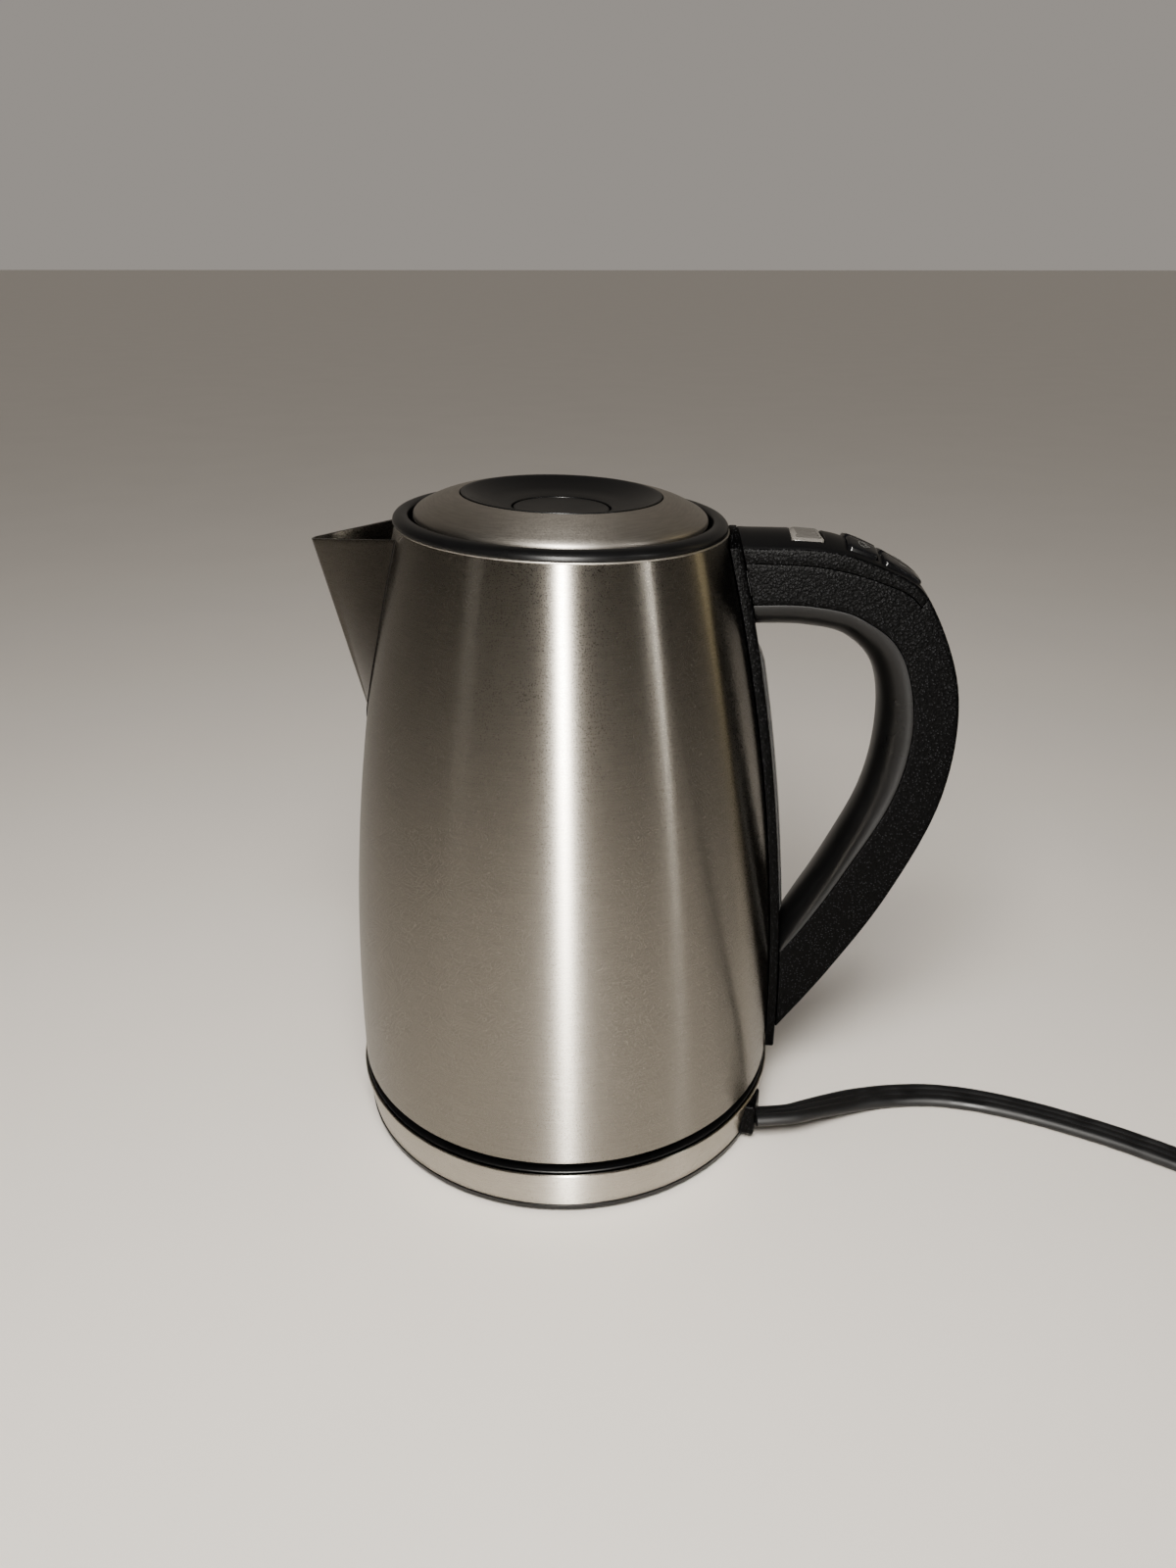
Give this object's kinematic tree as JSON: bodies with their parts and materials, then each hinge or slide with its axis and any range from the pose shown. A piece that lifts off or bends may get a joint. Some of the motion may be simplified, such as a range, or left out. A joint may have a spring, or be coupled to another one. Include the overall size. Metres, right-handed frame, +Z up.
{
  "type": "electric jug kettle",
  "caption": "Cordless stainless-steel electric jug kettle with a lift-off lid, black loop handle with keys and display, on a swivelling power base with a flat mains cord.",
  "frame": {"origin": "centre of the power base on the surface it stands on; the mount face is the base floor, 1 mm higher between the rubber feet", "axes": "+Z up, +X towards the handle, -X towards the pouring lip"},
  "size_m": [0.4501, 0.2075, 0.2281],
  "materials": {
    "brushed_steel": "horizontally brushed stainless steel",
    "dark_steel": "plain stainless steel of heater, screen and fasteners",
    "satin_black": "satin black moulded plastic",
    "textured_black": "finely pebbled black moulded plastic",
    "gloss_black": "glossy black",
    "rubber_black": "matt black flexible cord sheath and feet",
    "silicone_grey": "grey silicone",
    "board_green": "green circuit board",
    "window_smoke": "smoke-grey translucent plastic",
    "display_silver": "silvery glossy display window",
    "brass": "plain brass"
  },
  "bodies": {
    "power_base": {"base_band": "brushed_steel", "base_cover": "satin_black", "base_floor": "satin_black", "base_foot_1": "rubber_black", "base_foot_2": "rubber_black", "base_foot_3": "rubber_black", "base_foot_4": "rubber_black", "base_screw_1": "dark_steel", "base_screw_2": "dark_steel", "base_screw_3": "dark_steel", "base_connector": "satin_black", "base_terminal_block": "silicone_grey", "cord_gland": "satin_black", "power_cord": "rubber_black", "cord_coil": "rubber_black", "cord_tail": "rubber_black", "plug_body": "rubber_black", "plug_blade_left": "brass", "plug_blade_right": "brass", "plug_earth_pin": "brass"},
    "socket": {"jug_socket": "gloss_black"},
    "jug": {"jug_shell": "brushed_steel", "spout_filter": "dark_steel", "element_plate": "dark_steel", "heating_element": "dark_steel", "temperature_sensor": "dark_steel", "jug_floor_cover": "satin_black", "collar": "satin_black", "pouring_lip": "brushed_steel", "handle_bracket": "textured_black", "gauge_window": "window_smoke", "handle_shell": "textured_black", "handle_inner_band": "satin_black", "handle_top_cover": "satin_black", "display_lens": "display_silver", "display_module": "gloss_black", "control_board": "board_green", "button_board": "board_green", "handle_screw_upper": "dark_steel", "handle_screw_lower": "dark_steel"},
    "lid": {"lid_dome": "brushed_steel", "lid_dish": "satin_black", "lid_tray": "satin_black", "lid_seal": "silicone_grey", "lid_spring": "dark_steel", "lid_screw_1": "dark_steel", "lid_screw_2": "dark_steel", "lid_screw_3": "dark_steel"},
    "lid_button": {"lid_button": "satin_black"},
    "catch_rear": {"lid_catch_rear": "silicone_grey"},
    "catch_front": {"lid_catch_front": "silicone_grey"},
    "button_front_left": {"button_front_left": "gloss_black"},
    "button_front_right": {"button_front_right": "gloss_black"},
    "button_rear_left": {"button_rear_left": "gloss_black"},
    "button_rear_right": {"button_rear_right": "gloss_black"}
  },
  "joints": [
    {"name": "jug_lift", "type": "slide", "parent": "power_base", "child": "socket", "axis": [0, 0, 1], "range_m": [0, 0.12]},
    {"name": "jug_swivel", "type": "hinge", "parent": "socket", "child": "jug", "pos_m": [0, 0, 0.03], "axis": [0, 0, 1], "continuous": true},
    {"name": "lid_lift", "type": "slide", "parent": "jug", "child": "lid", "axis": [0.0314, 0, 0.9995], "range_m": [0, 0.06]},
    {"name": "lid_button_press", "type": "slide", "parent": "lid", "child": "lid_button", "axis": [-0.0314, 0, -0.9995], "range_m": [0, 0.003], "stiffness_N_per_m": 300, "deforming": ["lid_spring"]},
    {"name": "catch_rear_slide", "type": "slide", "parent": "lid", "child": "catch_rear", "axis": [0, -1, 0], "range_m": [0, 0.0025]},
    {"name": "catch_front_slide", "type": "slide", "parent": "lid", "child": "catch_front", "axis": [0, 1, 0], "range_m": [0, 0.0025]},
    {"name": "button_front_left_press", "type": "slide", "parent": "jug", "child": "button_front_left", "axis": [-0.3868, 0, -0.9222], "range_m": [0, 0.0007], "stiffness_N_per_m": 400},
    {"name": "button_front_right_press", "type": "slide", "parent": "jug", "child": "button_front_right", "axis": [-0.3868, 0, -0.9222], "range_m": [0, 0.0007], "stiffness_N_per_m": 400},
    {"name": "button_rear_left_press", "type": "slide", "parent": "jug", "child": "button_rear_left", "axis": [-0.4926, 0, -0.8703], "range_m": [0, 0.0007], "stiffness_N_per_m": 400},
    {"name": "button_rear_right_press", "type": "slide", "parent": "jug", "child": "button_rear_right", "axis": [-0.4926, 0, -0.8703], "range_m": [0, 0.0007], "stiffness_N_per_m": 400}
  ],
  "couplings": [
    {"joint": "catch_rear_slide", "follows": "lid_button_press", "ratio": 0.8333},
    {"joint": "catch_front_slide", "follows": "lid_button_press", "ratio": 0.8333}
  ]
}
